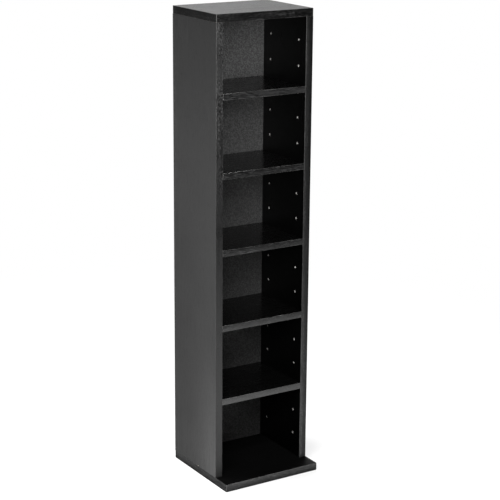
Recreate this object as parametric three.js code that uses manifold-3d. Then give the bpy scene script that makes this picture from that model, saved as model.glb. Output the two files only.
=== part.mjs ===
// A narrow, free-standing storage tower for discs in their cases: six open compartments, five
// loose shelves on plug-in pins, a thin back held in grooves, and a base that reaches forward.
//
// Millimetres, +Z up. The origin is on the floor under the middle of the overall box. The open
// front faces -Y, so -X is the left-hand side for a person standing in front of it.
//
// Boards are chipboard faced with black foil. The top lies on the ends of the two sides, and the
// sides stand on the base. Each of the four corner joints has two dowels and two countersunk
// joint screws on one line, 32 mm apart.

import * as THREE from "three";
import { mergeVertices } from "three/addons/utils/BufferGeometryUtils.js";
import Module from "manifold-3d";

const wasm = await Module();
wasm.setup();

// ---------------------------------------------------------------- driving dimensions

const WIDTH = 210; // over the two sides
const HEIGHT = 910; // floor to the top face
const CASE_DEPTH = 160; // sides and top, front to back
const BASE_DEPTH = 200; // the base reaches 40 further forward than the sides
const BOARD = 15; // sides, top and base
const SHELF_T = 12;
const BACK_T = 3;

const FRONT = -60; // Y of the front edges of the sides and the top
const REAR = FRONT + CASE_DEPTH; // 100
const BASE_FRONT = REAR - BASE_DEPTH; // -100
const INNER_X = WIDTH / 2 - BOARD; // 90, inner face of a side
const SIDE_X = WIDTH / 2 - BOARD / 2; // 97.5, middle of a side's thickness
const TOP_UNDER = HEIGHT - BOARD; // 895
const SIDE_H = TOP_UNDER - BOARD; // 880

// the back panel and its grooves
const BACK_Y = FRONT + 147; // front face of the back panel
const BACK_IN = 6; // how far the panel enters each groove
const GROOVE_DEEP = 6.3;
const GROOVE_SLACK = 0.3; // clearance on each face of the panel

// peg holes: 17 in each of the two columns in each side
const PEG_COUNT = 17;
const PEG_PITCH = 49.25;
const PEG_TOP = TOP_UNDER - 46; // highest row, 849; the lowest is as far from the lower end
const PEG_R = 2.7; // corner radius of the eight-sided hole, 5.0 across its flats
const PEG_DEEP = 9;
const PEG_Y = [FRONT + 25, FRONT + 122];
const SHELF_ROWS = [3, 6, 9, 12, 15]; // the row that carries each shelf, counted from the top

// shelves
const SHELF_W = 2 * INNER_X - 0.8;
const SHELF_D = 145.5;
const SHELF_FRONT = FRONT + 0.5;
const SHELF_LIFT = 2.5; // underside of a shelf above the axis of its pins

// corner joints, measured from the front edge
const SCREW_Y = [FRONT + 32, FRONT + 128];
const DOWEL_Y = [FRONT + 64, FRONT + 96];
const SCREW_LEN = 50;
const PILOT_R = 2.6;
const PILOT_DEEP = 38;
const SHANK_HOLE_R = 3.25;
const HEAD_R = 4.75;
const TOP_SINK = 1.75; // head of a top screw below the top face
const BASE_SINK = 0.45; // head of a base screw above the underside
const CAP_R = 5.95;
const CAP_T = 1.5;
const CAP_BORE_R = 6.15;
const DOWEL_R = 3.95;
const DOWEL_LEN = 30;
const DOWEL_HOLE_R = 4.2;
const DOWEL_IN_BOARD = 10; // length of a dowel that is in the top or the base
const DOWEL_SLACK = 0.4;

// ---------------------------------------------------------------- helpers

// A closed three.js geometry as a solid that can be cut and joined.
function solid(geometry) {
  const bare = geometry.index ? geometry.toNonIndexed() : geometry.clone();
  bare.deleteAttribute("normal");
  bare.deleteAttribute("uv");
  const merged = mergeVertices(bare, 1e-4);
  const vertProperties = new Float32Array(merged.attributes.position.array);
  const triVerts = new Uint32Array(merged.index.array);
  const make = () =>
    new wasm.Manifold(new wasm.Mesh({ numProp: 3, vertProperties, triVerts }));
  let made = make();
  if (made.volume() < 0) {
    for (let i = 0; i < triVerts.length; i += 3)
      [triVerts[i + 1], triVerts[i + 2]] = [triVerts[i + 2], triVerts[i + 1]];
    made = make();
  }
  return made;
}

// The solid back as a geometry for a mesh.
function geometryOf(made) {
  const out = made.getMesh();
  const n = out.vertProperties.length / out.numProp;
  const position = new Float32Array(n * 3);
  for (let i = 0; i < n; i++)
    for (let k = 0; k < 3; k++)
      position[3 * i + k] = out.vertProperties[i * out.numProp + k];
  const g = new THREE.BufferGeometry();
  g.setAttribute("position", new THREE.BufferAttribute(position, 3));
  g.setIndex(new THREE.BufferAttribute(new Uint32Array(out.triVerts), 1));
  g.computeVertexNormals();
  return g;
}

// A box given by its lowest and highest corners.
function box(x0, y0, z0, x1, y1, z1) {
  const g = new THREE.BoxGeometry(x1 - x0, y1 - y0, z1 - z0);
  g.translate((x0 + x1) / 2, (y0 + y1) / 2, (z0 + z1) / 2);
  return g;
}

// A turned solid about Z; the profile is [radius, z] pairs that start and end on the axis.
function turned(profile, sides) {
  const g = new THREE.LatheGeometry(
    profile.map(([r, z]) => new THREE.Vector2(r, z)),
    sides,
  );
  g.rotateX(Math.PI / 2);
  return g;
}

// A drill along Z from z0 up to z1.
function drill(r, x, y, z0, z1, sides = 10) {
  const g = new THREE.CylinderGeometry(r, r, z1 - z0, sides);
  g.rotateX(Math.PI / 2);
  g.translate(x, y, (z0 + z1) / 2);
  return solid(g);
}

// A drill along X from x0 to x1.
function drillX(r, y, z, x0, x1, sides = 8) {
  const g = new THREE.CylinderGeometry(r, r, x1 - x0, sides);
  g.rotateZ(Math.PI / 2);
  g.translate((x0 + x1) / 2, y, z);
  return solid(g);
}

function cutAll(body, tools) {
  let out = body;
  for (const t of tools) out = out.subtract(t);
  return out;
}

// ---------------------------------------------------------------- materials

const foil = new THREE.MeshStandardMaterial({ color: 0x1b1b1c, roughness: 0.48, metalness: 0 });
const shelfFoil = new THREE.MeshStandardMaterial({ color: 0x19191a, roughness: 0.42, metalness: 0 });
const hardboard = new THREE.MeshStandardMaterial({ color: 0x2a2a2b, roughness: 0.7, metalness: 0 });
const nickel = new THREE.MeshStandardMaterial({ color: 0xb4b2ac, roughness: 0.3, metalness: 1 });
const zinc = new THREE.MeshStandardMaterial({ color: 0xa8a89f, roughness: 0.38, metalness: 1 });
const beech = new THREE.MeshStandardMaterial({ color: 0xc8a070, roughness: 0.75, metalness: 0 });
const capPlastic = new THREE.MeshStandardMaterial({ color: 0x141414, roughness: 0.45, metalness: 0 });

// ---------------------------------------------------------------- the tower

const tower = new THREE.Group();
tower.name = "disc_tower";

const carcass = new THREE.Group();
carcass.name = "carcass";
tower.add(carcass);

function add(parent, name, geometry, material, x = 0, y = 0, z = 0) {
  const mesh = new THREE.Mesh(geometry, material);
  mesh.name = name;
  mesh.position.set(x, y, z);
  parent.add(mesh);
  return mesh;
}

// A side: local X runs from the inner face (0) to the outer face, local Y from the front edge to
// the rear edge, local Z from the lower end. dir is +1 for the right-hand side and -1 for the
// left, which is the same board drilled on its other face.
function sideGeometry(dir) {
  const span = (a, b) => (dir > 0 ? [a, b] : [-b, -a]);
  const [x0, x1] = span(0, BOARD);
  const tools = [];
  const [h0, h1] = span(-1, PEG_DEEP);
  for (let row = 0; row < PEG_COUNT; row++)
    for (const y of PEG_Y)
      tools.push(drillX(PEG_R, y - FRONT, PEG_TOP - row * PEG_PITCH - BOARD, h0, h1));
  const [g0, g1] = span(-1, GROOVE_DEEP);
  const gy = BACK_Y - GROOVE_SLACK - FRONT;
  tools.push(solid(box(g0, gy, -1, g1, gy + BACK_T + 2 * GROOVE_SLACK, SIDE_H + 1)));
  const mid = (dir * BOARD) / 2;
  for (const y of SCREW_Y) {
    tools.push(drill(PILOT_R, mid, y - FRONT, -1, PILOT_DEEP));
    tools.push(drill(PILOT_R, mid, y - FRONT, SIDE_H - PILOT_DEEP, SIDE_H + 1));
  }
  const deep = DOWEL_LEN - DOWEL_IN_BOARD + DOWEL_SLACK;
  for (const y of DOWEL_Y) {
    tools.push(drill(DOWEL_HOLE_R, mid, y - FRONT, -1, deep));
    tools.push(drill(DOWEL_HOLE_R, mid, y - FRONT, SIDE_H - deep, SIDE_H + 1));
  }
  return geometryOf(cutAll(solid(box(x0, 0, 0, x1, CASE_DEPTH, SIDE_H)), tools));
}

add(carcass, "left_side_panel", sideGeometry(-1), foil, -INNER_X, FRONT, BOARD);
add(carcass, "right_side_panel", sideGeometry(1), foil, INNER_X, FRONT, BOARD);

// The top: local origin in the middle of its underside. Flush plugs hide its screws.
{
  const tools = [];
  for (const sx of [-SIDE_X, SIDE_X]) {
    for (const y of SCREW_Y) {
      const t = turned(
        [
          [0, -1],
          [SHANK_HOLE_R, -1],
          [SHANK_HOLE_R, BOARD - TOP_SINK - 2.95],
          [HEAD_R + 0.2, BOARD - TOP_SINK - 0.85],
          [HEAD_R + 0.2, BOARD - CAP_T - 0.1],
          [CAP_BORE_R, BOARD - CAP_T - 0.1],
          [CAP_BORE_R, BOARD + 1],
          [0, BOARD + 1],
        ],
        16,
      );
      t.translate(sx, y, 0);
      tools.push(solid(t));
    }
    for (const y of DOWEL_Y)
      tools.push(drill(DOWEL_HOLE_R, sx, y, -1, DOWEL_IN_BOARD + DOWEL_SLACK));
  }
  const gx = INNER_X + GROOVE_DEEP;
  tools.push(
    solid(box(-gx, BACK_Y - GROOVE_SLACK, -1, gx, BACK_Y + BACK_T + GROOVE_SLACK, GROOVE_DEEP)),
  );
  const board = solid(box(-WIDTH / 2, FRONT, 0, WIDTH / 2, REAR, BOARD));
  add(carcass, "top_panel", geometryOf(cutAll(board, tools)), foil, 0, 0, TOP_UNDER);
}

// The base: local origin on the floor.
{
  const tools = [];
  for (const sx of [-SIDE_X, SIDE_X]) {
    for (const y of SCREW_Y) {
      const t = turned(
        [
          [0, -1],
          [HEAD_R + 0.2, -1],
          [HEAD_R + 0.2, BASE_SINK + 0.85],
          [SHANK_HOLE_R, BASE_SINK + 2.95],
          [SHANK_HOLE_R, BOARD + 1],
          [0, BOARD + 1],
        ],
        16,
      );
      t.translate(sx, y, 0);
      tools.push(solid(t));
    }
    for (const y of DOWEL_Y)
      tools.push(drill(DOWEL_HOLE_R, sx, y, BOARD - DOWEL_IN_BOARD - DOWEL_SLACK, BOARD + 1));
  }
  const gx = INNER_X + GROOVE_DEEP;
  tools.push(
    solid(
      box(
        -gx,
        BACK_Y - GROOVE_SLACK,
        BOARD - GROOVE_DEEP,
        gx,
        BACK_Y + BACK_T + GROOVE_SLACK,
        BOARD + 1,
      ),
    ),
  );
  const board = solid(box(-WIDTH / 2, BASE_FRONT, 0, WIDTH / 2, REAR, BOARD));
  add(carcass, "base_panel", geometryOf(cutAll(board, tools)), foil);
}

// The back panel, held on all four edges in the grooves.
{
  const x = INNER_X + BACK_IN;
  const z0 = BOARD - BACK_IN;
  const z1 = TOP_UNDER + BACK_IN;
  add(carcass, "back_panel", box(-x, 0, 0, x, BACK_T, z1 - z0), hardboard, 0, BACK_Y, z0);
}

// ---------------------------------------------------------------- shelves and their pins

// A shelf pin: local +X points into the side. A round stem plugs into a peg hole, a collar meets
// the side's face, and a flat tongue on a rib carries the shelf. Nothing stands above the tongue.
const pinGeometry = (() => {
  const tongueTop = SHELF_LIFT - 0.1;
  const stem = new THREE.LatheGeometry(
    [
      [0, -1.2],
      [3.5, -1.2],
      [3.9, -0.8],
      [3.9, -0.1],
      [2.35, -0.1],
      [2.35, 7.4],
      [1.8, 8],
      [0, 8],
    ].map(([r, a]) => new THREE.Vector2(r, a)),
    8,
  );
  stem.rotateZ(-Math.PI / 2);
  const outline = new THREE.Shape();
  outline.moveTo(-0.6, -3.5);
  outline.lineTo(-0.6, 3.5);
  outline.lineTo(-6.5, 3.5);
  for (let i = 1; i < 6; i++) {
    const a = Math.PI / 2 + (i * Math.PI) / 6;
    outline.lineTo(-6.5 + 3.5 * Math.cos(a), 3.5 * Math.sin(a));
  }
  outline.lineTo(-6.5, -3.5);
  outline.closePath();
  const tongue = new THREE.ExtrudeGeometry(outline, { depth: 1.6, bevelEnabled: false });
  tongue.translate(0, 0, tongueTop - 1.6);
  const web = new THREE.Shape();
  web.moveTo(-0.6, tongueTop - 0.8);
  web.lineTo(-7.5, tongueTop - 0.8);
  web.lineTo(-7.5, tongueTop - 1.9);
  web.lineTo(-0.6, -3);
  web.closePath();
  const rib = new THREE.ExtrudeGeometry(web, { depth: 1.6, bevelEnabled: false });
  rib.rotateX(Math.PI / 2);
  rib.translate(0, 0.8, 0);
  const lid = solid(box(-2, -5, tongueTop, -0.05, 5, 5));
  return geometryOf(solid(stem).subtract(lid).add(solid(tongue)).add(solid(rib)));
})();

const shelfGeometry = box(-SHELF_W / 2, 0, 0, SHELF_W / 2, SHELF_D, SHELF_T);
SHELF_ROWS.forEach((row, i) => {
  const z = PEG_TOP - (row - 1) * PEG_PITCH;
  add(tower, `shelf_${i + 1}`, shelfGeometry, shelfFoil, 0, SHELF_FRONT, z + SHELF_LIFT);
  const pins = new THREE.Group();
  pins.name = `pins_under_shelf_${i + 1}`;
  pins.position.z = z;
  carcass.add(pins);
  for (const dir of [-1, 1])
    PEG_Y.forEach((y, k) => {
      const place = `${dir < 0 ? "left" : "right"}_${k ? "rear" : "front"}`;
      const name = `shelf_pin_${i + 1}_${place}`;
      const pin = add(pins, name, pinGeometry, nickel, dir * INNER_X, y, 0);
      if (dir < 0) pin.rotation.z = Math.PI;
    });
});

// ---------------------------------------------------------------- corner hardware

// A joint screw: local origin at the middle of its head's face, the shank going down.
const screwGeometry = (() => {
  const body = turned(
    [
      [0, 0],
      [HEAD_R, 0],
      [HEAD_R, -0.75],
      [3, -2.85],
      [3, -12.4],
      [2.3, -13],
      [2.3, 3.5 - SCREW_LEN],
      [0.5, -SCREW_LEN],
      [0, -SCREW_LEN],
    ],
    10,
  );
  const socket = new THREE.CylinderGeometry(2.31, 2.31, 4, 6);
  socket.rotateX(Math.PI / 2);
  socket.translate(0, 0, -1);
  return geometryOf(solid(body).subtract(solid(socket)));
})();

// A fluted dowel standing on its lower end.
const dowelGeometry = (() => {
  const s = new THREE.Shape();
  const n = 12;
  for (let i = 0; i < n; i++) {
    const r = i % 2 ? DOWEL_R - 0.3 : DOWEL_R;
    const a = (i * 2 * Math.PI) / n;
    if (i) s.lineTo(r * Math.cos(a), r * Math.sin(a));
    else s.moveTo(r, 0);
  }
  s.closePath();
  const chamfer = 0.8;
  const g = new THREE.ExtrudeGeometry(s, {
    depth: DOWEL_LEN - 2 * chamfer,
    bevelEnabled: true,
    bevelThickness: chamfer,
    bevelSize: chamfer,
    bevelOffset: -chamfer,
    bevelSegments: 1,
  });
  g.translate(0, 0, chamfer);
  return geometryOf(solid(g));
})();

// A flush plug over a top screw: a disc, and a peg for the screw's hexagon socket.
const capGeometry = (() => {
  const disc = turned(
    [
      [0, -CAP_T],
      [CAP_R - 0.25, -CAP_T],
      [CAP_R, -CAP_T + 0.25],
      [CAP_R, -0.3],
      [CAP_R - 0.3, 0],
      [0, 0],
    ],
    16,
  );
  const peg = new THREE.CylinderGeometry(2.1, 1.9, 3, 6);
  peg.rotateX(Math.PI / 2);
  peg.translate(0, 0, -CAP_T - 1.2);
  return geometryOf(solid(disc).add(solid(peg)));
})();

const hardware = new THREE.Group();
hardware.name = "corner_hardware";
carcass.add(hardware);
for (const x of [-SIDE_X, SIDE_X])
  for (const k of [0, 1]) {
    const place = `${x < 0 ? "left" : "right"}_${k ? "rear" : "front"}`;
    const sy = SCREW_Y[k];
    const dy = DOWEL_Y[k];
    const dowelLow = TOP_UNDER + DOWEL_IN_BOARD - DOWEL_LEN;
    add(hardware, `top_screw_${place}`, screwGeometry, zinc, x, sy, HEIGHT - TOP_SINK);
    const low = add(hardware, `base_screw_${place}`, screwGeometry, zinc, x, sy, BASE_SINK);
    low.rotation.x = Math.PI;
    add(hardware, `top_dowel_${place}`, dowelGeometry, beech, x, dy, dowelLow);
    add(hardware, `base_dowel_${place}`, dowelGeometry, beech, x, dy, BOARD - DOWEL_IN_BOARD);
    add(hardware, `screw_cap_${place}`, capGeometry, capPlastic, x, sy, HEIGHT);
  }

export default tower;
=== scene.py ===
"""Looks of a narrow black storage tower for discs in their cases. Metres, +Z up, open front to -Y."""

import math

import bmesh
import bpy
import numpy as np
from mathutils import Matrix, Vector


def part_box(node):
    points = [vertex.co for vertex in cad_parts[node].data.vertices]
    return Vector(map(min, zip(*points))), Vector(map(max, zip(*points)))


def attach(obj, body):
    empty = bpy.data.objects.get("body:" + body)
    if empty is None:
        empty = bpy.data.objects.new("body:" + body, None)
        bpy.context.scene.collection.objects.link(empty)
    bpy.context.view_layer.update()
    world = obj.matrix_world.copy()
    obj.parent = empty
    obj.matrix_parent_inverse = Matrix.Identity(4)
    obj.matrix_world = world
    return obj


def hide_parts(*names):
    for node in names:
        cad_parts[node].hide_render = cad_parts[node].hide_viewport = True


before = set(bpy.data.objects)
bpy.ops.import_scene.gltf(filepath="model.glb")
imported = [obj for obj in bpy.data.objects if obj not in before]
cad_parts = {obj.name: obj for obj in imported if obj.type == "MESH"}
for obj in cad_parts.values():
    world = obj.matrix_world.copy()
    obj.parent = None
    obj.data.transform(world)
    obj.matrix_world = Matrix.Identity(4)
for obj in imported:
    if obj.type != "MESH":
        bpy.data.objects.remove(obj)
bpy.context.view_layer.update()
MM = 0.001
ROOT = "carcass"
SHELVES = ["shelf_1", "shelf_2", "shelf_3", "shelf_4", "shelf_5"]
PEG_Z = [0.849 - 0.04925 * k for k in range(17)]
PEG_Y = (-0.035, 0.062)
PIN_ROWS = (3, 6, 9, 12, 15)


# ------------------------------------------------------------------ node graphs


class Graph:
    """A small writer for a material's node graph: every method returns an output socket."""

    def __init__(self, name):
        self.mat = bpy.data.materials.new(name)
        self.mat.use_nodes = True
        self.nt = self.mat.node_tree
        self.nt.nodes.clear()
        self.out = self.nt.nodes.new("ShaderNodeOutputMaterial")
        self.bsdf = self.nt.nodes.new("ShaderNodeBsdfPrincipled")
        self.nt.links.new(self.bsdf.outputs[0], self.out.inputs[0])

    def put(self, socket, value):
        if isinstance(value, bpy.types.NodeSocket):
            self.nt.links.new(value, socket)
        elif isinstance(value, (tuple, list)):
            v = tuple(value)
            socket.default_value = v + (1.0,) * (len(socket.default_value) - len(v))
        else:
            socket.default_value = value

    def set(self, name, value):
        self.put(self.bsdf.inputs[name], value)

    def coords(self, scale=(1, 1, 1), shift=(0, 0, 0), turn=(0, 0, 0)):
        t = self.nt.nodes.new("ShaderNodeTexCoord")
        m = self.nt.nodes.new("ShaderNodeMapping")
        m.inputs["Scale"].default_value = scale
        m.inputs["Location"].default_value = shift
        m.inputs["Rotation"].default_value = turn
        self.nt.links.new(t.outputs["Object"], m.inputs["Vector"])
        return m.outputs[0]

    def noise(self, vector, scale=1.0, detail=2.0, rough=0.5, distort=0.0, out="Fac"):
        n = self.nt.nodes.new("ShaderNodeTexNoise")
        self.put(n.inputs["Vector"], vector)
        n.inputs["Scale"].default_value = scale
        n.inputs["Detail"].default_value = detail
        n.inputs["Roughness"].default_value = rough
        n.inputs["Distortion"].default_value = distort
        return n.outputs[out]

    def voronoi(self, vector, scale=1.0, feature="F1", out="Distance", random=1.0, smooth=0.0):
        n = self.nt.nodes.new("ShaderNodeTexVoronoi")
        n.feature = feature
        self.put(n.inputs["Vector"], vector)
        n.inputs["Scale"].default_value = scale
        n.inputs["Randomness"].default_value = random
        if feature == "SMOOTH_F1":
            n.inputs["Smoothness"].default_value = smooth
        return n.outputs[out]

    def wave(self, vector, scale=1.0, distort=0.0, axis="X", detail=2.0, kind="BANDS"):
        n = self.nt.nodes.new("ShaderNodeTexWave")
        n.wave_type = kind
        n.bands_direction = axis
        self.put(n.inputs["Vector"], vector)
        n.inputs["Scale"].default_value = scale
        n.inputs["Distortion"].default_value = distort
        n.inputs["Detail"].default_value = detail
        return n.outputs["Fac"]

    def math(self, op, a, b=0.0, c=0.0, clamp=False):
        n = self.nt.nodes.new("ShaderNodeMath")
        n.operation = op
        n.use_clamp = clamp
        for i, v in enumerate((a, b, c)):
            if i < len(n.inputs):
                self.put(n.inputs[i], v)
        return n.outputs[0]

    def span(self, value, a, b, lo=0.0, hi=1.0, soft=False):
        """value taken from a..b to lo..hi, and held there outside."""
        n = self.nt.nodes.new("ShaderNodeMapRange")
        n.interpolation_type = "SMOOTHSTEP" if soft else "LINEAR"
        n.clamp = True
        self.put(n.inputs["Value"], value)
        for k, v in zip(("From Min", "From Max", "To Min", "To Max"), (a, b, lo, hi)):
            self.put(n.inputs[k], v)
        return n.outputs[0]

    def ramp(self, value, stops):
        n = self.nt.nodes.new("ShaderNodeValToRGB")
        e = n.color_ramp.elements
        while len(e) < len(stops):
            e.new(0.5)
        for el, (p, c) in zip(e, stops):
            el.position = p
            el.color = tuple(c) + (1.0,)
        self.put(n.inputs[0], value)
        return n.outputs[0]

    def mix(self, fac, a, b, how="MIX"):
        n = self.nt.nodes.new("ShaderNodeMix")
        n.data_type = "RGBA"
        n.blend_type = how
        n.clamp_factor = True
        self.put(n.inputs["Factor"], fac)
        self.put([s for s in n.inputs if s.name == "A" and s.type == "RGBA"][0], a)
        self.put([s for s in n.inputs if s.name == "B" and s.type == "RGBA"][0], b)
        return [s for s in n.outputs if s.type == "RGBA"][0]

    def attribute(self, name):
        n = self.nt.nodes.new("ShaderNodeAttribute")
        n.attribute_name = name
        return n.outputs["Fac"]

    def bump(self, height, distance, strength=1.0, under=None):
        n = self.nt.nodes.new("ShaderNodeBump")
        n.inputs["Strength"].default_value = strength
        n.inputs["Distance"].default_value = distance
        self.put(n.inputs["Height"], height)
        if under is not None:
            self.put(n.inputs["Normal"], under)
        return n.outputs[0]

    def height(self, axis="Z"):
        """Height above the floor, or the place along another axis, in metres."""
        t = self.nt.nodes.new("ShaderNodeTexCoord")
        d = self.nt.nodes.new("ShaderNodeSeparateXYZ")
        self.nt.links.new(t.outputs["Object"], d.inputs[0])
        return d.outputs[axis]

    def spot(self, at, radius):
        """1 within radius of a point, 0 outside."""
        t = self.nt.nodes.new("ShaderNodeTexCoord")
        d = self.nt.nodes.new("ShaderNodeVectorMath")
        d.operation = "DISTANCE"
        self.nt.links.new(t.outputs["Object"], d.inputs[0])
        d.inputs[1].default_value = at
        return self.span(d.outputs["Value"], radius * 0.7, radius, 1.0, 0.0)


def grain_scale(axis, along, across):
    """Texture scale, in features per metre, for a grain that runs along one axis."""
    return tuple(along if a == axis else across for a in "XYZ")


# ------------------------------------------------------------------ materials


def foil(name, axis, tone, rough, shine, wear=0.045, relief=1.0, chip=None, painted_low_light=None):
    """Black wood-grain foil: fine pores and slow streaks along the grain, paler where it wraps an arris, as wear and
    as a painted highlight.

    painted_low_light is a painted light, how much paler the tone turns low down at the front, and a painted shade, how
    much darker it turns low down at the rear.
    """
    g = Graph(name)
    streak = g.noise(g.coords(grain_scale(axis, 7, 150)), 1.0, 4.0, 0.55, 0.6)
    ticks = g.noise(g.coords(grain_scale(axis, 60, 1100), (3.1, 1.7, 0.4)), 1.0, 3.0, 0.6)
    pores = g.span(g.noise(g.coords(grain_scale(axis, 90, 2100), (7, 5, 2)), 1.0, 1.0), 0.58, 0.68)
    cloud = g.noise(g.coords((11, 11, 11), (1.3, 0.2, 4.4)), 1.0, 3.0, 0.5)
    arris = g.attribute("arris")
    wear_and_highlight = g.math("MULTIPLY", arris, g.span(g.noise(g.coords((90, 90, 90)), 1.0, 4.0, 0.7), 0.35, 0.7, 0.3, 1.0))
    c = g.mix(g.span(streak, 0.32, 0.7), (tone * 0.75,) * 3, (tone * 1.35,) * 3)
    c = g.mix(g.math("MULTIPLY", g.span(cloud, 0.35, 0.7), 0.35), c, (tone * 1.5,) * 3)
    c = g.mix(g.math("MULTIPLY", pores, 0.55), c, (tone * 0.25,) * 3)
    if painted_low_light:
        # Painted light low down at the front and painted shade low down at the rear.
        fore = g.math("MULTIPLY", g.span(g.height(), 0.04, 0.28, painted_low_light[0], 0.0), g.span(g.height("Y"), -0.06, 0.04, 1.0, 0.0))
        aft = g.math("MULTIPLY", g.span(g.height(), 0.4, 0.65, painted_low_light[1], 0.0), g.span(g.height("Y"), -0.03, 0.07, 0.0, 1.0))
        c = g.mix(1.0, c, g.math("MULTIPLY", g.math("ADD", 1.0, fore), g.math("SUBTRACT", 1.0, aft)), "MULTIPLY")
    # Paler at the arrises: wear, and a painted highlight.
    c = g.mix(g.math("MULTIPLY", wear_and_highlight, 0.6), c, (wear, wear * 0.99, wear * 0.97))
    r = g.math("ADD", rough - 0.04, g.math("MULTIPLY", g.span(streak, 0.3, 0.7), 0.06))
    r = g.math("ADD", r, g.math("MULTIPLY", g.span(cloud, 0.3, 0.7), 0.05))
    r = g.math("ADD", r, g.math("MULTIPLY", pores, 0.14), clamp=True)
    if chip:
        spot = g.spot(*chip)
        c = g.mix(spot, c, (0.74, 0.67, 0.55))
        r = g.math("ADD", r, g.math("MULTIPLY", spot, 0.4), clamp=True)
    h = g.math("SUBTRACT", g.math("MULTIPLY", ticks, 0.5), pores)
    n = g.bump(h, 0.00005 * relief, 0.6, g.bump(streak, 0.00016 * relief, 0.35))
    g.set("Base Color", c)
    g.set("Roughness", r)
    g.set("Specular IOR Level", shine)
    g.set("Normal", n)
    return g.mat


def edging(name, axis, tone, rough, shine, wear=0.06, grit=1.0, spread=1.0, flecks=260, painted_shade_across=None, painted_light_by_height=None):
    """Edge tape: the same black with long streaks and short flecks, paler in patches along both arrises, as wear and
    as a painted highlight.

    painted_shade_across is painted light and shade across the tape: the strength of the tone at one arris, in the
    middle and at the other arris; it is stronger low down.
    painted_light_by_height is painted light and shade by height: the tone's strength half-way up the tower and high
    up, and the even painted tone that it turns to low down.
    """
    g = Graph(name)
    streak = g.noise(g.coords(grain_scale(axis, 14, 420), (5, 2, 8)), 1.0, 3.0, 0.55, 0.3)
    fleck = g.noise(g.coords(grain_scale(axis, flecks, 620), (1, 6, 3)), 1.0, 2.0, 0.6)
    blotch = g.noise(g.coords(grain_scale(axis, 45, 160), (4, 4, 9)), 1.0, 3.0, 0.55)
    pits = g.voronoi(g.coords(grain_scale(axis, 420, 700), (2, 9, 4)), 1.0)
    patch = g.noise(g.coords(grain_scale(axis, 26, 90), (9, 1, 7)), 1.0, 3.0, 0.65)
    arris = g.attribute("arris")
    wear_and_highlight = g.math("MULTIPLY", arris, g.span(patch, 0.42, 0.62, 0.22, 1.0))
    pale = g.math("MULTIPLY", g.span(streak, 0.42, 0.66, 0.15, 1.0), g.span(fleck, 0.44, 0.66))
    c = g.mix(pale, (tone * (1.0 - 0.85 * spread),) * 3, (tone * (1.0 + 5.0 * spread),) * 3)
    c = g.mix(g.span(blotch, 0.5, 0.72, 0.0, 0.5), c, (tone * 0.3,) * 3)
    if painted_shade_across:
        # Painted light and shade across the tape, stronger low down and weaker high up.
        across = g.attribute("across")
        near, far = g.span(across, 0.0, 0.5, painted_shade_across[0], painted_shade_across[1]), g.span(across, 0.5, 1.0, 1.0, painted_shade_across[2] / painted_shade_across[1])
        low, high = g.span(g.height(), 0.1, 0.4, 2.5, 0.85), g.span(g.height(), 0.4, 0.88, 1.0, 0.45)
        tint = g.math("MULTIPLY", g.math("MULTIPLY", near, far), g.math("MULTIPLY", low, high))
        c = g.mix(1.0, c, tint, "MULTIPLY")
    if painted_light_by_height:
        # Painted light and shade by height, turning to an even painted tone low down.
        mid, top, painted_low_light = painted_light_by_height
        c = g.mix(1.0, c, g.span(g.height(), 0.5, 0.82, mid, top), "MULTIPLY")
        c = g.mix(g.span(g.height(), 0.2, 0.5, 0.85, 0.0), c, (painted_low_light,) * 3)
    # Paler in patches at the arrises: wear, and a painted highlight.
    c = g.mix(g.math("MULTIPLY", wear_and_highlight, 0.8), c, (wear, wear * 0.99, wear * 0.97))
    r = g.math("ADD", rough - 0.09, g.math("MULTIPLY", g.span(fleck, 0.34, 0.62), 0.17 * spread))
    r = g.math("ADD", r, g.math("MULTIPLY", g.span(blotch, 0.35, 0.65), 0.14), clamp=True)
    h = g.math("ADD", fleck, g.math("MULTIPLY", pits, 0.35))
    h = g.math("ADD", h, g.math("MULTIPLY", streak, 0.8))
    n = g.bump(h, 0.00048 * grit, 0.6, g.bump(blotch, 0.0013 * grit, 0.35))
    g.set("Base Color", c)
    g.set("Roughness", r)
    g.set("Specular IOR Level", shine)
    g.set("Normal", n)
    return g.mat


def back_board(name, tone=0.0162, shine=0.48):
    """Thin hardboard with a black pebbled face."""
    g = Graph(name)
    pebble = g.voronoi(g.coords((430, 430, 430)), 1.0, "SMOOTH_F1", smooth=0.25)
    blobs = g.noise(g.coords((430, 430, 430), (8, 3, 3)), 1.0, 1.0, 0.5)
    grit = g.noise(g.coords((900, 900, 900), (1, 4, 2)), 1.0, 2.0, 0.6)
    drift = g.noise(g.coords((40, 40, 30), (6, 1, 3)), 1.0, 3.0, 0.55)
    h = g.math("ADD", g.math("MULTIPLY", pebble, -1.0), g.math("MULTIPLY", grit, 0.4))
    c = g.mix(g.span(blobs, 0.38, 0.64), (tone * 0.12,) * 3, (tone * 2.3,) * 3)
    c = g.mix(g.math("MULTIPLY", g.span(grit, 0.4, 0.7), 0.4), c, (tone * 1.7,) * 3)
    c = g.mix(g.math("MULTIPLY", g.span(drift, 0.35, 0.7), 0.25), c, (tone * 0.7,) * 3)
    c = g.mix(g.math("MULTIPLY", g.span(pebble, 0.42, 0.75), 0.7), c, (tone * 0.25,) * 3)
    g.set("Base Color", c)
    g.set("Roughness", g.span(blobs, 0.38, 0.64, 0.66, 0.42))
    g.set("Specular IOR Level", shine)
    g.set("Normal", g.bump(h, 0.0009, 0.6))
    return g.mat


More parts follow.
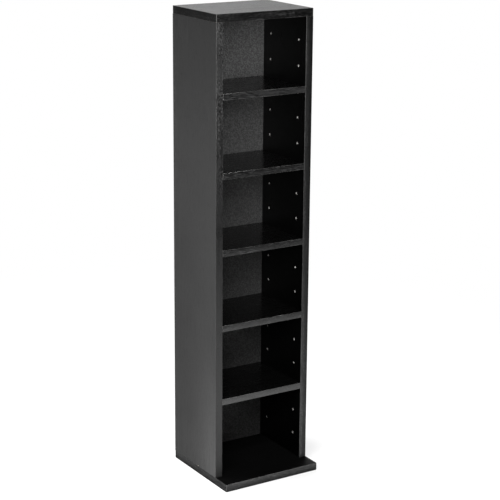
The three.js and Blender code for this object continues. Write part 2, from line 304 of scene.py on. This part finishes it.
def chipboard(name, k=1.0, tint=1.0):
    """Raw chipboard, as sawn and grooved: pale flakes in resin. A lower k stands for a drilled, dusty wall; the rear
    peg holes' still lower k is painted shade.
    """

    def hue(r, g, b):
        m = (r + g + b) / 3
        return tuple((m + (v - m) * tint) * k for v in (r, g, b))

    g = Graph(name)
    flake = g.voronoi(g.coords((520, 900, 700)), 1.0, out="Color")
    grey = g.nt.nodes.new("ShaderNodeSeparateColor")
    g.put(grey.inputs[0], flake)
    fibre = g.noise(g.coords((900, 900, 300)), 1.0, 4.0, 0.6)
    c = g.ramp(grey.outputs[0], [(p, hue(*q)) for p, q in ((0.0, (0.54, 0.47, 0.38)), (0.45, (0.72, 0.66, 0.56)), (1.0, (0.86, 0.83, 0.76)))])
    c = g.mix(g.math("MULTIPLY", g.span(fibre, 0.45, 0.7), 0.35), c, hue(0.42, 0.34, 0.25))
    g.set("Base Color", c)
    g.set("Roughness", g.span(fibre, 0.3, 0.7, 0.78, 0.95))
    g.set("Specular IOR Level", 0.3)
    g.set("Normal", g.bump(g.math("ADD", fibre, grey.outputs[1]), 0.0002, 0.5))
    return g.mat


def metal(name, colour, rough, wear=0.12, axis="Z"):
    """Plated steel: a faint turned or stamped grain, with duller patches."""
    g = Graph(name)
    lines = g.noise(g.coords(grain_scale(axis, 3000, 500)), 1.0, 2.0, 0.5)
    patch = g.noise(g.coords((260, 260, 260), (4, 4, 1)), 1.0, 4.0, 0.6)
    dull = tuple(v * 0.62 for v in colour)
    g.set("Base Color", g.mix(g.math("MULTIPLY", g.span(patch, 0.45, 0.72), 0.6), colour, dull))
    g.set("Metallic", 1.0)
    g.set("Roughness", g.math("ADD", rough, g.math("MULTIPLY", g.span(patch, 0.35, 0.7), wear), clamp=True))
    g.set("Normal", g.bump(lines, 0.00002, 0.4))
    return g.mat


def beech(name):
    g = Graph(name)
    rays = g.noise(g.coords((900, 900, 60)), 1.0, 4.0, 0.6)
    fleck = g.span(g.noise(g.coords((2200, 2200, 260), (3, 8, 1)), 1.0, 1.0), 0.58, 0.68)
    c = g.ramp(g.span(rays, 0.3, 0.7), [(0.0, (0.50, 0.33, 0.17)), (1.0, (0.68, 0.49, 0.30))])
    c = g.mix(g.math("MULTIPLY", fleck, 0.5), c, (0.33, 0.19, 0.09))
    g.set("Base Color", c)
    g.set("Roughness", g.span(rays, 0.3, 0.7, 0.6, 0.78))
    g.set("Normal", g.bump(rays, 0.0001, 0.5))
    return g.mat


def plastic(name, tone=0.010, rough=0.40, shine=0.16):
    g = Graph(name)
    grain = g.noise(g.coords((2400, 2400, 2400)), 1.0, 2.0, 0.5)
    swirl = g.noise(g.coords((150, 150, 150), (2, 2, 5)), 1.0, 3.0, 0.6)
    g.set("Base Color", g.mix(g.span(swirl, 0.3, 0.7), (tone * 0.8,) * 3, (tone * 1.4,) * 3))
    g.set("Roughness", g.span(swirl, 0.3, 0.7, rough - 0.04, rough + 0.08))
    g.set("Specular IOR Level", shine)
    g.set("Normal", g.bump(grain, 0.00004, 0.5))
    return g.mat


def pale_floor(name, near=0.45, far=1.5):
    """Matt white floor that runs out into the white surround away from the tower, as seen directly; seen directly it
    also glows at least half white near the tower, a painted light over the tower's cast shadow.
    """
    g = Graph(name)
    g.set("Base Color", (0.82, 0.82, 0.82))
    g.set("Roughness", 0.9)
    g.set("Specular IOR Level", 0.1)
    t = g.nt.nodes.new("ShaderNodeTexCoord")
    d = g.nt.nodes.new("ShaderNodeVectorMath")
    d.operation = "LENGTH"
    g.nt.links.new(t.outputs["Object"], d.inputs[0])
    seen = g.nt.nodes.new("ShaderNodeLightPath")
    white = g.nt.nodes.new("ShaderNodeEmission")
    blend = g.nt.nodes.new("ShaderNodeMixShader")
    # Painted light: half white glow near the tower, lifting its cast shadow, and full white further out.
    out = g.math("MULTIPLY", g.span(d.outputs["Value"], near, far, 0.5, 1.0, soft=True), seen.outputs["Is Camera Ray"])
    g.put(blend.inputs[0], out)
    g.nt.links.new(g.bsdf.outputs[0], blend.inputs[1])
    g.nt.links.new(white.outputs[0], blend.inputs[2])
    g.nt.links.new(blend.outputs[0], g.out.inputs[0])
    return g.mat


M = {
    # The outer upright foil is painted lighter low down at the front and painted darker low down at the rear.
    "outer_up": foil("foil_outer_upright", "Z", 0.0082, 0.38, 0.122, chip=((-0.105, 0.0068, 0.0156), 0.0009), painted_low_light=(2.8, 0.85)),
    # The inner faces and the base's top take a far darker tone than the outer faces of the same foil: painted shade
    # inside the compartments.
    "inner_up": foil("foil_inner_upright", "Z", 0.0003, 0.30, 0.12, 0.06),
    "outer_flat": foil("foil_outer_crosswise", "X", 0.0082, 0.38, 0.122),
    "inner_flat": foil("foil_inner_crosswise", "X", 0.0012, 0.20, 0.235, 0.03, 0.35),
    "base_flat": foil("foil_base_top", "X", 0.0019, 0.42, 0.02, 0.03, 0.5),
    # The left upright's tape carries painted light and shade by height.
    "edge_up": edging("edging_upright", "Z", 0.0045, 0.34, 0.28, 0.055, 1.25, 1.15, painted_light_by_height=(0.45, 1.3, 0.018)),
    # The right upright's tape and the base's tapes carry painted light and shade across their width.
    "edge_up_right": edging("edging_upright_right", "Z", 0.0062, 0.34, 0.17, 0.06, 1.0, 0.45, painted_shade_across=(2.6, 1.1, 0.15)),
    "edge_across": edging("edging_crosswise", "X", 0.0045, 0.26, 0.34, 0.25, 1.0, 1.0, 90),
    "edge_base": edging("edging_base_front", "X", 0.0062, 0.26, 0.15, 0.20, 0.7, 0.3, 90, painted_shade_across=(2.6, 1.3, 0.08)),
    "edge_base_deep": edging("edging_base_side", "Y", 0.0060, 0.50, 0.06, 0.05, 0.8, 0.4, 200, painted_shade_across=(1.3, 0.65, 0.05)),
    "edge_deep": edging("edging_front_to_back", "Y", 0.0018, 0.62, 0.06, 0.02),
    "edge_shelf_1": edging("edging_shelf_1", "X", 0.0040, 0.25, 0.46, 0.42, 0.5, 1.0, 90),
    "edge_shelf_2": edging("edging_shelf_2", "X", 0.0040, 0.18, 0.33, 0.42, 0.5, 1.0, 90),
    "edge_shelf_3": edging("edging_shelf_3", "X", 0.0040, 0.18, 0.45, 0.42, 0.5, 1.0, 90),
    "edge_shelf_4": edging("edging_shelf_4", "X", 0.0040, 0.18, 0.60, 0.42, 0.4, 0.9, 90),
    "edge_shelf_5": edging("edging_shelf_5", "X", 0.0040, 0.18, 0.71, 0.42, 0.35, 0.8, 90),
    "edge_top": edging("edging_top_front", "X", 0.0036, 0.36, 0.070, 0.10, 1.3, 1.0, 140),
    "edge_top_deep": edging("edging_top_side", "Y", 0.0024, 0.36, 0.045, 0.03, 1.3),
    "back": back_board("pebbled_hardboard"),
    "drilled": chipboard("drilled_chipboard", 0.32, 0.25),
    # The rear peg holes' walls take a darker chipboard than the front ones: painted shade.
    "drilled_rear": chipboard("drilled_chipboard_rear", 0.21, 0.25),
    "raw": chipboard("raw_chipboard", 0.30),
    "pin": metal("nickel_plate", (0.56, 0.545, 0.515), 0.34, 0.14, "X"),
    "screw": metal("zinc_plate", (0.66, 0.66, 0.62), 0.30, 0.18, "Z"),
    "dowel": beech("bare_beech"),
    "cap": plastic("black_plastic"),
}


# ------------------------------------------------------------------ mesh helpers


def as_object(bm, name, mats, body, node, angle=32.0, weighted=True):
    """The bmesh as an object that stands for a CAD node, smooth except across sharp edges."""
    bmesh.ops.recalc_face_normals(bm, faces=bm.faces)
    limit = math.radians(angle)
    for f in bm.faces:
        f.smooth = True
    for e in bm.edges:
        e.smooth = not (len(e.link_faces) == 2 and e.calc_face_angle(0.0) > limit)
    me = bpy.data.meshes.new(name)
    bm.to_mesh(me)
    bm.free()
    ob = bpy.data.objects.new(name, me)
    bpy.context.scene.collection.objects.link(ob)
    for m in mats:
        me.materials.append(m)
    if weighted:
        w = ob.modifiers.new("even_normals", "WEIGHTED_NORMAL")
        w.keep_sharp = True
        w.weight = 60
    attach(ob, body)
    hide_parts(*([node] if isinstance(node, str) else node))
    return ob


def block(lo, hi, axis, r_long, r_rim, seg=4, corner=1.0):
    """A closed box: the four edges along one axis are rounded by r_long, and both end rims by r_rim."""
    bm = bmesh.new()
    bmesh.ops.create_cube(bm, size=1.0)
    lo, hi = Vector(lo), Vector(hi)
    for v in bm.verts:
        v.co = Vector(((lo[i] + hi[i]) / 2 + v.co[i] * (hi[i] - lo[i]) for i in range(3)))

    def along(e):
        d = e.verts[0].co - e.verts[1].co
        return abs(d[axis]) > 0.99 * d.length

    bmesh.ops.bevel(bm, geom=[e for e in bm.edges if along(e)], offset=r_long, offset_type="OFFSET", segments=4, profile=0.5, affect="EDGES", clamp_overlap=True)
    for end in (lo[axis], hi[axis]):
        rim = [e for e in bm.edges if all(abs(v.co[axis] - end) < 1e-7 for v in e.verts)]
        bmesh.ops.bevel(bm, geom=rim, offset=r_rim, offset_type="OFFSET", segments=seg, profile=0.5, affect="EDGES", clamp_overlap=True)
    mark_arris(bm, corner)
    return bm


def mark_arris(bm, corner=1.0):
    """Point values for the wear and painted highlight: 1 where the surface turns an arris, 0 on the flat. Upright
    corners take a share.
    """
    bm.normal_update()
    layer = bm.verts.layers.float.get("arris") or bm.verts.layers.float.new("arris")
    for v in bm.verts:
        m = max(abs(c) for c in v.normal)
        v[layer] = min(1.0, max(0.0, (0.985 - m) / 0.2)) * (corner if abs(v.normal.z) < 0.3 else 1.0)


def slice_across(bm, axis, places):
    """Cuts loops round the block at these places along one axis."""
    no = Vector([1.0 if i == axis else 0.0 for i in range(3)])
    for p in places:
        co = Vector([p if i == axis else 0.0 for i in range(3)])
        bmesh.ops.bisect_plane(bm, geom=bm.verts[:] + bm.edges[:] + bm.faces[:], dist=1e-7, plane_co=co, plane_no=no)


def crown(bm, face_axis, face_at, into, across, lo, hi, depth, reach):
    """Bows one narrow face outwards: its middle stays put and its two long arrises go in by depth."""
    mid, half = (lo[across] + hi[across]) / 2, (hi[across] - lo[across]) / 2
    for v in bm.verts:
        if abs(v.co[face_axis] - face_at) < reach:
            t = (v.co[across] - mid) / half
            v.co[face_axis] += into * depth * t * t


def mesh_object(bm, name):
    me = bpy.data.meshes.new(name)
    bm.to_mesh(me)
    bm.free()
    ob = bpy.data.objects.new(name, me)
    bpy.context.scene.collection.objects.link(ob)
    return ob


def cut(bm, cutters):
    """bm with the cutters' joined solids taken away."""
    bmesh.ops.recalc_face_normals(cutters, faces=cutters.faces)
    a, b = mesh_object(bm, "tmp_body"), mesh_object(cutters, "tmp_cutters")
    m = a.modifiers.new("cut", "BOOLEAN")
    m.operation = "DIFFERENCE"
    m.solver = "EXACT"
    m.use_self = False
    m.object = b
    bpy.context.view_layer.update()
    dg = bpy.context.evaluated_depsgraph_get()
    me = bpy.data.meshes.new_from_object(a.evaluated_get(dg))
    out = bmesh.new()
    out.from_mesh(me)
    for o in (a, b):
        old = o.data
        bpy.data.objects.remove(o)
        bpy.data.meshes.remove(old)
    bpy.data.meshes.remove(me)
    bmesh.ops.remove_doubles(out, verts=out.verts, dist=1e-7)
    return out


def add_block(bm, lo, hi):
    lo, hi = Vector(lo), Vector(hi)
    v = [bm.verts.new((x, y, z)) for x in (lo.x, hi.x) for y in (lo.y, hi.y) for z in (lo.z, hi.z)]
    for f in ((0, 1, 3, 2), (4, 6, 7, 5), (0, 4, 5, 1), (2, 3, 7, 6), (0, 2, 6, 4), (1, 5, 7, 3)):
        bm.faces.new([v[i] for i in f])


def paint(bm, rule):
    """Material by place, and no wear or painted highlight on any vertex of a flat face, such as a hole's rim."""
    bm.normal_update()
    layer = bm.verts.layers.float.get("arris")
    for f in bm.faces:
        f.material_index = rule(f.calc_center_median(), f.normal)
        if layer and max(abs(c) for c in f.normal) > 0.995 and f.calc_area() > 4e-6:
            for v in f.verts:
                v[layer] = 0.0


# ------------------------------------------------------------------ boards

ARRIS = 0.5 * MM
CROWN = 0.25 * MM
STEPS = (0.12, 0.3, 0.5, 0.7, 0.88)
HOLE_R = 2.5 * MM
GROOVE = (0.0867, 0.0903)


def side(node, sign):
    """An upright: outer face, inner face with its peg holes and groove, taped front and rear edges."""
    lo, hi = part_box(node)
    bm = block(lo, hi, 2, 0.6 * MM, 0.4 * MM)
    slice_across(bm, 0, [lo.x + (hi.x - lo.x) * t for t in STEPS])
    bow = (0.14 if sign < 0 else 0.42) * MM
    crown(bm, 1, lo.y, 1.0, 0, lo, hi, bow, 0.62 * MM)
    inner, into = (hi.x, -1.0) if sign < 0 else (lo.x, 1.0)
    bm = cut(bm, peg_drills(inner, into))
    g = bmesh.new()
    a, b = sorted((inner - into * 1.0 * MM, inner + into * 6.3 * MM))
    add_block(g, (a, GROOVE[0], lo.z - 0.001), (b, GROOVE[1], hi.z + 0.001))
    bm = cut(bm, g)

    def rule(p, n):
        deep = (p.x - inner) * into
        if 0.12 * MM < deep < 13 * MM:
            if min(math.hypot(p.y - y, p.z - z) for y in PEG_Y for z in PEG_Z) < HOLE_R * 1.02:
                # Rear peg holes take the darker chipboard, as painted shade.
                return 4 if p.y < 0.0135 else 5
            if GROOVE[0] - 1e-5 < p.y < GROOVE[1] + 1e-5:
                return 3
        if p.y < lo.y + 0.61 * MM + bow or p.y > hi.y - 0.61 * MM:
            return 2
        if abs(n.z) > 0.95 and min(p.z - lo.z, hi.z - p.z) < 1e-5 and 0.6 * MM < deep < 14.4 * MM:
            return 3
        return 1 if deep < 3 * MM else 0

    paint(bm, rule)
    highlight_and_wear_layer, across = bm.verts.layers.float["arris"], bm.verts.layers.float.new("across")
    for v in bm.verts:
        v[across] = (v.co.x - inner) * into / (15 * MM)
        # No wear or painted highlight on the outer part of the right upright's front edge.
        if sign > 0 and v[across] > 0.6:
            v[highlight_and_wear_layer] = 0.0
    tape = M["edge_up"] if sign < 0 else M["edge_up_right"]
    return as_object(bm, node + "_board", [M["outer_up"], M["inner_up"], tape, M["raw"], M["drilled"], M["drilled_rear"]], ROOT, node)


def peg_drills(inner, into):
    """Solids for the peg holes, each with a soft mouth where the foil turns in."""
    out = bmesh.new()
    mouth = ((-0.6, 0.16), (0.0, 0.10), (0.05, 0.04), (0.14, 0.0), (9.0, 0.0))
    for z in PEG_Z:
        for y in PEG_Y:
            tube(out, (0, y, z), 0, [(inner + into * a * MM, HOLE_R + r * MM) for a, r in mouth])
    return out


def tube(bm, centre, axis, rings, n=28):
    """A closed turned solid from (place along the axis, radius) pairs, capped at both ends."""
    u, w = [i for i in range(3) if i != axis]
    loops = []
    for at, rad in rings:
        ring = []
        for k in range(n):
            t = 2 * math.pi * k / n
            co = [0.0, 0.0, 0.0]
            co[axis] = at
            co[u] = centre[u] + rad * math.cos(t)
            co[w] = centre[w] + rad * math.sin(t)
            ring.append(bm.verts.new(co))
        loops.append(ring)
    for one, two in zip(loops, loops[1:]):
        for k in range(n):
            q = (k + 1) % n
            bm.faces.new((one[k], one[q], two[q], two[k]))
    bm.faces.new(loops[0][::-1])
    bm.faces.new(loops[-1])
    return bm


side("left_side_panel", -1)
side("right_side_panel", 1)


def slab(node, body, mats, kind, cutters=None):
    """A level board: top face, underside, taped edges and, on a shelf, bare ends."""
    lo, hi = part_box(node)
    corner, arris = (1.8 * MM, ARRIS) if kind != "shelf" else (0.2 * MM, 0.7 * MM)
    # The base's upright corners take less of the wear and painted highlight.
    bm = block(lo, hi, 2, corner, arris, corner=0.3 if kind == "base" else 1.0)
    slice_across(bm, 2, [lo.z + (hi.z - lo.z) * t for t in STEPS])
    crown(bm, 1, lo.y, 1.0, 2, lo, hi, CROWN, arris * 1.02)
    if kind == "shelf":
        slice_across(bm, 1, [lo.y + 1.0 * MM])
    else:
        crown(bm, 0, lo.x, 1.0, 2, lo, hi, CROWN, ARRIS * 1.02)
        crown(bm, 0, hi.x, -1.0, 2, lo, hi, CROWN, ARRIS * 1.02)
    if cutters is not None:
        bm = cut(bm, cutters)
    tape = arris * 1.01 + CROWN

    def rule(p, n):
        if cutters is not None:
            out = min(p.x - lo.x, hi.x - p.x, p.y - lo.y, hi.y - p.y)
            deep = min(p.z - lo.z, hi.z - p.z)
            if out > 1.7 * MM and deep > 0.03 * MM:
                return 4
        if abs(n.z) > 0.92 and min(p.z - lo.z, hi.z - p.z) < 2e-5:
            return 0 if n.z > 0 else 1
        if p.y < lo.y + 1.0 * MM:
            return 2
        if kind == "shelf" and (p.x < lo.x + tape or p.x > hi.x - tape or p.y > hi.y - tape):
            return 4 if lo.z + arris * 0.7 < p.z < hi.z - arris * 0.7 else (0 if n.z > 0 else 1)
        if p.x < lo.x + tape or p.x > hi.x - tape:
            return 3
        if p.y > hi.y - tape:
            return 2
        return 0 if n.z > 0 else 1

    paint(bm, rule)
    across = bm.verts.layers.float.new("across")
    for v in bm.verts:
        v[across] = (hi.z - v.co.z) / (hi.z - lo.z)
    return as_object(bm, node + "_board", [M[m] for m in mats] + [M["raw"]], body, node)


GROOVE_X = 0.0963
c = bmesh.new()
for x in (-0.0975, 0.0975):
    for y in (-0.028, 0.068):
        tube(c, (x, y, 0), 2, [(0.893, 3.25 * MM), (0.9053, 3.25 * MM), (0.9074, 4.95 * MM), (0.9084, 4.95 * MM), (0.90841, 6.15 * MM), (0.9098, 6.15 * MM), (0.9102, 6.4 * MM)])
    for y in (0.004, 0.036):
        tube(c, (x, y, 0), 2, [(0.893, 4.1 * MM), (0.9054, 4.1 * MM)])
add_block(c, (-GROOVE_X, GROOVE[0], 0.893), (GROOVE_X, GROOVE[1], 0.9013))
slab("top_panel", ROOT, ["outer_flat", "inner_flat", "edge_top", "edge_top_deep"], "top", c)

c = bmesh.new()
for x in (-0.0975, 0.0975):
    for y in (-0.028, 0.068):
        tube(c, (x, y, 0), 2, [(-0.002, 4.95 * MM), (0.0013, 4.95 * MM), (0.0034, 3.25 * MM), (0.017, 3.25 * MM)])
    for y in (0.004, 0.036):
        tube(c, (x, y, 0), 2, [(0.0046, 4.1 * MM), (0.017, 4.1 * MM)])
add_block(c, (-GROOVE_X, GROOVE[0], 0.0087), (GROOVE_X, GROOVE[1], 0.017))
slab("base_panel", ROOT, ["base_flat", "outer_flat", "edge_base", "edge_base_deep"], "base", c)

for s in SHELVES:
    slab(s, s, ["inner_flat", "inner_flat", "edge_" + s, "edge_deep"], "shelf")

lo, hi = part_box("back_panel")
as_object(block(lo, hi, 1, 0.6 * MM, 0.25 * MM, 2), "back_panel_board", [M["back"]], ROOT, "back_panel")


# ------------------------------------------------------------------ hardware


def add_prism(bm, outline, axis, a, b, ease=0.0):
    """A closed prism from a flat outline, with its two rims eased by a small chamfer."""
    u, w = [i for i in range(3) if i != axis]
    cu = sum(p[0] for p in outline) / len(outline)
    cw = sum(p[1] for p in outline) / len(outline)
    reach = max(math.hypot(p[0] - cu, p[1] - cw) for p in outline)
    k = 1.0 - ease / reach
    levels = [(a, k), (a + ease, 1.0), (b - ease, 1.0), (b, k)] if ease else [(a, 1.0), (b, 1.0)]
    loops = []
    for at, q in levels:
        loop = []
        for p in outline:
            co = [0.0, 0.0, 0.0]
            co[axis] = at
            co[u] = cu + (p[0] - cu) * q
            co[w] = cw + (p[1] - cw) * q
            loop.append(bm.verts.new(co))
        loops.append(loop)
    n = len(outline)
    for one, two in zip(loops, loops[1:]):
        for i in range(n):
            j = (i + 1) % n
            bm.faces.new((one[i], one[j], two[j], two[i]))
    bm.faces.new(loops[0][::-1])
    bm.faces.new(loops[-1])


def pin(node, dir, y, z):
    """A plug-in shelf pin: grooved stem, collar cut flat above the tongue, half-round tongue on a rib."""
    bm = bmesh.new()
    rings = [(-0.1, 2.35)]
    for k in range(4):
        at = 1.1 + 1.5 * k
        rings += [(at, 2.35), (at + 0.25, 2.12), (at + 0.55, 2.12), (at + 0.8, 2.35)]
    rings += [(7.3, 2.35), (7.75, 2.0), (8.0, 1.55)]
    tube(bm, (0, 0, 0), 0, [(a * MM, r * MM) for a, r in rings], 24)
    disc = []
    flat = 2.4
    for k in range(40):
        t = 2 * math.pi * k / 40
        disc.append((3.2 * math.cos(t) * MM, min(3.2 * math.sin(t), flat) * MM))
    disc = [p for i, p in enumerate(disc) if i == 0 or math.hypot(p[0] - disc[i - 1][0], p[1] - disc[i - 1][1]) > 1e-6]
    add_prism(bm, disc, 0, -1.2 * MM, -0.1 * MM, 0.22 * MM)
    plan = [(-0.6, -3.5), (-6.5, -3.5)]
    for k in range(1, 14):
        t = -math.pi / 2 - math.pi * k / 14
        plan.append((-6.5 + 3.5 * math.cos(t), 3.5 * math.sin(t)))
    plan += [(-6.5, 3.5), (-0.6, 3.5)]
    add_prism(bm, [(p[0] * MM, p[1] * MM) for p in plan], 2, 0.8 * MM, 2.4 * MM, 0.25 * MM)
    web = [(-0.6, 1.6), (-7.5, 1.6), (-7.5, 0.5), (-7.2, 0.35), (-0.6, -3.0)]
    add_prism(bm, [(p[0] * MM, p[1] * MM) for p in web], 1, -0.8 * MM, 0.8 * MM, 0.15 * MM)
    for v in bm.verts:
        v.co = Vector((dir * (0.09 + v.co.x), y + dir * v.co.y, z + v.co.z))
    as_object(bm, node + "_piece", [M["pin"]], ROOT, node, 28.0)


for i, row in enumerate(PIN_ROWS):
    for dir, hand in ((-1, "left"), (1, "right")):
        for y, place in zip(PEG_Y, ("front", "rear")):
            pin("shelf_pin_%d_%s_%s" % (i + 1, hand, place), dir, y, PEG_Z[row - 1])


def screw(node, x, y, z, down):
    """A countersunk joint screw with a hexagon socket and a coarse rolled thread."""
    bm = bmesh.new()
    n, pitch = 24, 3.0
    head = [(0.0, 4.45), (-0.12, 4.75), (-0.75, 4.75), (-2.85, 3.0), (-12.4, 3.0), (-13.0, 2.15)]
    core = 1.95
    hexa = 2.0 / math.cos(math.pi / 6)
    rings = []
    for at, r in head:
        rings.append([Vector((r * math.cos(2 * math.pi * k / n), r * math.sin(2 * math.pi * k / n), at)) for k in range(n)])
    at = -13.3
    while at > -45.0:
        loop = []
        for k in range(n):
            t = k / n
            phase = ((at / pitch) + t) % 1.0
            crest = max(0.0, 1.0 - abs(phase - 0.5) / 0.17)
            r = core + 0.33 * crest
            loop.append(Vector((r * math.cos(2 * math.pi * t), r * math.sin(2 * math.pi * t), at)))
        rings.append(loop)
        at -= pitch / 10
    for a, r in ((-45.6, 1.7), (-49.6, 0.5), (-50.0, 0.2)):
        rings.append([Vector((r * math.cos(2 * math.pi * k / n), r * math.sin(2 * math.pi * k / n), a)) for k in range(n)])
    sock = []
    for k in range(n):
        t = 2 * math.pi * k / n
        seg = math.pi / 3
        r = 2.0 / math.cos((t % seg) - seg / 2)
        sock.append((r * math.cos(t), r * math.sin(t)))
    inner = [[Vector((p[0] * s, p[1] * s, a)) for p in sock] for a, s in ((0.0, 1.12), (-0.2, 1.0), (-2.9, 1.0))]
    chain = inner[::-1] + rings
    loops = [[bm.verts.new(v * MM) for v in ring] for ring in chain]
    for one, two in zip(loops, loops[1:]):
        for k in range(n):
            q = (k + 1) % n
            bm.faces.new((one[k], one[q], two[q], two[k]))
    tip = bm.verts.new(Vector((0, 0, -3.4)) * MM)
    for k in range(n):
        bm.faces.new((tip, loops[0][(k + 1) % n], loops[0][k]))
    bm.faces.new(loops[-1])
    for v in bm.verts:
        v.co = Vector((x + v.co.x, y + v.co.y, z + v.co.z)) if down else Vector((x + v.co.x, y - v.co.y, z - v.co.z))
    as_object(bm, node + "_piece", [M["screw"]], ROOT, node, 30.0)


def dowel(node, x, y, z):
    """A fluted wooden dowel with chamfered ends."""
    bm = bmesh.new()
    flutes, per = 14, 4
    n = flutes * per
    loops = []
    for at, k in ((0.0, 0.80), (0.9, 1.0), (29.1, 1.0), (30.0, 0.80)):
        ring = []
        for i in range(n):
            t = 2 * math.pi * i / n
            r = (3.95 - (0.28 if i % per == 0 else 0.0)) * k
            ring.append(bm.verts.new(Vector((x + r * math.cos(t) * MM, y + r * math.sin(t) * MM, z + at * MM))))
        loops.append(ring)
    for one, two in zip(loops, loops[1:]):
        for i in range(n):
            j = (i + 1) % n
            bm.faces.new((one[i], one[j], two[j], two[i]))
    bm.faces.new(loops[0][::-1])
    bm.faces.new(loops[-1])
    as_object(bm, node + "_piece", [M["dowel"]], ROOT, node, 25.0)


def plug(node, x, y, z):
    """A moulded plug over a screw: an eased, slightly dished disc with a hexagonal peg."""
    bm = bmesh.new()
    rings = [(-1.5, 5.6), (-1.25, 5.95), (-0.35, 5.95), (-0.12, 5.82), (-0.03, 5.55), (-0.03, 4.9), (-0.10, 3.6), (-0.14, 1.2)]
    tube(bm, (0, 0, 0), 2, [(a * MM, r * MM) for a, r in rings], 40)
    peg = [(2.0 * math.cos(math.pi * k / 3) * MM, 2.0 * math.sin(math.pi * k / 3) * MM) for k in range(6)]
    add_prism(bm, peg, 2, -4.1 * MM, -1.4 * MM, 0.2 * MM)
    for v in bm.verts:
        v.co += Vector((x, y, z))
    as_object(bm, node + "_piece", [M["cap"]], ROOT, node, 40.0)


for x, hand in ((-0.0975, "left"), (0.0975, "right")):
    for sy, dy, place in ((-0.028, 0.004, "front"), (0.068, 0.036, "rear")):
        tag = hand + "_" + place
        screw("top_screw_" + tag, x, sy, 0.91 - 1.75 * MM, True)
        screw("base_screw_" + tag, x, sy, 0.45 * MM, False)
        dowel("top_dowel_" + tag, x, dy, 0.875)
        dowel("base_dowel_" + tag, x, dy, 0.005)
        plug("screw_cap_" + tag, x, sy, 0.91)


# ------------------------------------------------------------------ stage, light, camera

bm = bmesh.new()
S = 30.0
f = [bm.verts.new((x, y, 0.0)) for x, y in ((-S, -S), (S, -S), (S, S), (-S, S))]
bm.faces.new(f)
floor = mesh_object(bm, "floor")
floor.data.materials.append(pale_floor("pale_floor"))

world = bpy.data.worlds.new("studio")
bpy.context.scene.world = world
world.use_nodes = True
wt = world.node_tree
wt.nodes.clear()
wo = wt.nodes.new("ShaderNodeOutputWorld")
wb = wt.nodes.new("ShaderNodeBackground")
wb.inputs[0].default_value = (1.0, 1.0, 1.0, 1.0)
seen = wt.nodes.new("ShaderNodeLightPath")
level = wt.nodes.new("ShaderNodeMapRange")
wt.links.new(seen.outputs["Is Camera Ray"], level.inputs["Value"])
level.inputs["To Min"].default_value = 0.12
level.inputs["To Max"].default_value = 1.0
wt.links.new(level.outputs[0], wb.inputs[1])
wt.links.new(wb.outputs[0], wo.inputs[0])


def area(name, at, aim, size, power, size_y=None):
    d = bpy.data.lights.new(name, "AREA")
    d.shape = "RECTANGLE"
    d.size = size
    d.size_y = size_y or size
    d.energy = power
    o = bpy.data.objects.new(name, d)
    bpy.context.scene.collection.objects.link(o)
    o.location = at
    o.rotation_euler = (Vector(aim) - Vector(at)).to_track_quat("-Z", "Y").to_euler()
    return o


for name, at, aim, size, power, size_y in (
    ("softbox_behind", (2.2, 5.5, 4.2), (2.2, 5.5, 0), 5.0, 350, 5.0),
    ("softbox_far", (4.5, 9.5, 5.0), (4.5, 9.5, 0), 7.0, 240, 7.0),
    ("softbox_left", (-2.0, 1.6, 3.0), (-1.4, 1.4, 0), 2.0, 170, 2.0),
    ("softbox_front_left", (-0.71, -0.70, 0.75), (0, 0, 0.75), 0.42, 16.3, 0.42),
    ("softbox_front_high", (-0.14, -0.86, 1.20), (0, 0, 0.8), 0.42, 11.8, 0.42),
    ("softbox_front_low", (-0.14, -0.86, 0.90), (0, 0, 0.8), 0.42, 3.4, 0.42),
):
    area(name, at, aim, size, power, size_y).visible_camera = False

view = bpy.context.scene.view_settings
view.view_transform = "Standard"
view.look = "None"

cam_data = bpy.data.cameras.new("camera")
cam_data.sensor_width = 36.0
cam_data.lens = 110.86
cam_data.clip_end = 200.0
cam = bpy.data.objects.new("camera", cam_data)
bpy.context.scene.collection.objects.link(cam)
yaw, pitch, roll = (math.radians(v) for v in (-32.10, -15.54, 0.44))
fwd = Vector((math.sin(-yaw) * math.cos(pitch), math.cos(yaw) * math.cos(pitch), math.sin(pitch)))
right = fwd.cross(Vector((0, 0, 1))).normalized()
up = right.cross(fwd)
r2 = right * math.cos(roll) + up * math.sin(roll)
u2 = -right * math.sin(roll) + up * math.cos(roll)
cam.matrix_world = Matrix(
    (
        (r2.x, u2.x, -fwd.x, -1.51657),
        (r2.y, u2.y, -fwd.y, -2.42932),
        (r2.z, u2.z, -fwd.z, 1.24115),
        (0, 0, 0, 1),
    )
)
bpy.context.scene.camera = cam

bpy.context.view_layer.update()
